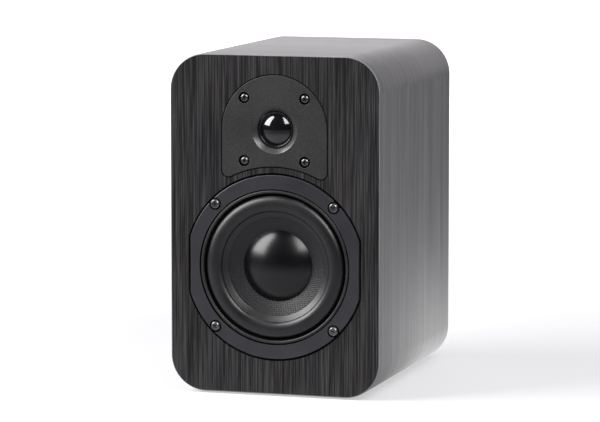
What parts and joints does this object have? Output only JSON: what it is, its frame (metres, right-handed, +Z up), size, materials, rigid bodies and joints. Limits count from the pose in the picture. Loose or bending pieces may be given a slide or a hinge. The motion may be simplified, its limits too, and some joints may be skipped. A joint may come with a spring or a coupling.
{
  "type": "bookshelf speaker",
  "caption": "Two-way bookshelf loudspeaker: rounded cabinet with a dark wood-grain front, arched tweeter plate, woofer in a flatted round frame, rear port and screw terminals.",
  "frame": {"origin": "on the surface the speaker stands on, under the middle of its bounding box", "axes": "+Z up, -Y out of the front (the side the drivers face), +X to the right as seen from the front"},
  "size_m": [0.17, 0.2104, 0.2665],
  "materials": {
    "vinyl": "brushed grey vinyl wrap, satin",
    "wood_face": "dark grey-black vertical wood grain, satin",
    "mdf": "raw fibreboard",
    "dark_board": "black painted fibreboard",
    "rubber": "satin butyl rubber",
    "foam": "closed-cell foam",
    "wadding": "white polyester fibre",
    "frame_paint": "dark blue-grey satin paint",
    "plate": "fine textured dark grey",
    "cone": "coated black weave",
    "gloss_cap": "glossy black",
    "spider_cloth": "impregnated yellow cloth",
    "steel": "zinc-plated steel",
    "ferrite": "sintered ferrite",
    "copper": "enamelled copper winding",
    "plastic": "black moulded plastic",
    "red_plastic": "red moulded plastic",
    "gold": "gold-plated brass",
    "black_screw": "black oxide steel",
    "circuit_board": "green solder mask",
    "film": "yellow tape wrap",
    "lead_sheath": "red twin lead sheath"
  },
  "bodies": {
    "root": {"binding_post_black": "gold", "binding_post_red": "gold", "cabinet_sleeve": "mdf", "cabinet_wrap": "vinyl", "crossover_board": "circuit_board", "crossover_resistor": "plastic", "cup_screw_1": "black_screw", "cup_screw_2": "black_screw", "cup_screw_3": "black_screw", "cup_screw_4": "black_screw", "damping_wadding": "wadding", "foot_1": "rubber", "foot_2": "rubber", "foot_3": "rubber", "foot_4": "rubber", "front_baffle": "mdf", "front_veneer": "wood_face", "input_lead": "lead_sheath", "port_tube": "plastic", "rear_panel": "dark_board", "terminal_cup": "plastic", "tweeter_capacitor": "film", "tweeter_faceplate": "plate", "tweeter_inductor": "copper", "tweeter_lead": "lead_sheath", "tweeter_magnet": "ferrite", "tweeter_rear_chamber": "plastic", "tweeter_screw_1": "black_screw", "tweeter_screw_2": "black_screw", "tweeter_screw_3": "black_screw", "tweeter_screw_4": "black_screw", "tweeter_surround": "rubber", "tweeter_top_plate": "steel", "tweeter_yoke": "steel", "woofer_basket": "frame_paint", "woofer_capacitor": "film", "woofer_gasket": "foam", "woofer_inductor": "copper", "woofer_lead": "lead_sheath", "woofer_magnet": "ferrite", "woofer_screw_1": "black_screw", "woofer_screw_2": "black_screw", "woofer_screw_3": "black_screw", "woofer_screw_4": "black_screw", "woofer_spider": "spider_cloth", "woofer_surround": "rubber", "woofer_terminals": "plastic", "woofer_top_plate": "steel", "woofer_trim_ring": "plastic", "woofer_yoke": "steel"},
    "woofer_moving": {"woofer_cone": "cone", "woofer_dust_cap": "gloss_cap", "woofer_voice_coil": "copper"},
    "tweeter_moving": {"tweeter_dome": "gloss_cap", "tweeter_voice_coil": "copper"},
    "washer_red": {"clamp_washer_red": "gold"},
    "washer_black": {"clamp_washer_black": "gold"},
    "nut_red": {"thumb_nut_red": "red_plastic"},
    "nut_black": {"thumb_nut_black": "plastic"}
  },
  "joints": [
    {"name": "woofer_stroke", "type": "slide", "parent": "root", "child": "woofer_moving", "axis": [0, -1, 0], "range_m": [-0.004, 0.004], "stiffness_N_per_m": 1000, "deforming": ["woofer_surround", "woofer_spider"]},
    {"name": "tweeter_stroke", "type": "slide", "parent": "root", "child": "tweeter_moving", "axis": [0, -1, 0], "range_m": [-0.0003, 0.0003], "stiffness_N_per_m": 500, "deforming": ["tweeter_surround"]},
    {"name": "washer_red_travel", "type": "slide", "parent": "root", "child": "washer_red", "axis": [0, 1, 0], "range_m": [0, 0.005]},
    {"name": "nut_red_turn", "type": "hinge", "parent": "washer_red", "child": "nut_red", "pos_m": [-0.00953, 0.0912, 0.0795], "axis": [0, 1, 0], "range_deg": [0, 2400]},
    {"name": "washer_black_travel", "type": "slide", "parent": "root", "child": "washer_black", "axis": [0, 1, 0], "range_m": [0, 0.005]},
    {"name": "nut_black_turn", "type": "hinge", "parent": "washer_black", "child": "nut_black", "pos_m": [0.00953, 0.0912, 0.0795], "axis": [0, 1, 0], "range_deg": [0, 2400]}
  ],
  "couplings": [
    {"joint": "nut_red_turn", "follows": "washer_red_travel", "rad_per_m": 8377.6},
    {"joint": "nut_black_turn", "follows": "washer_black_travel", "rad_per_m": 8377.6}
  ]
}
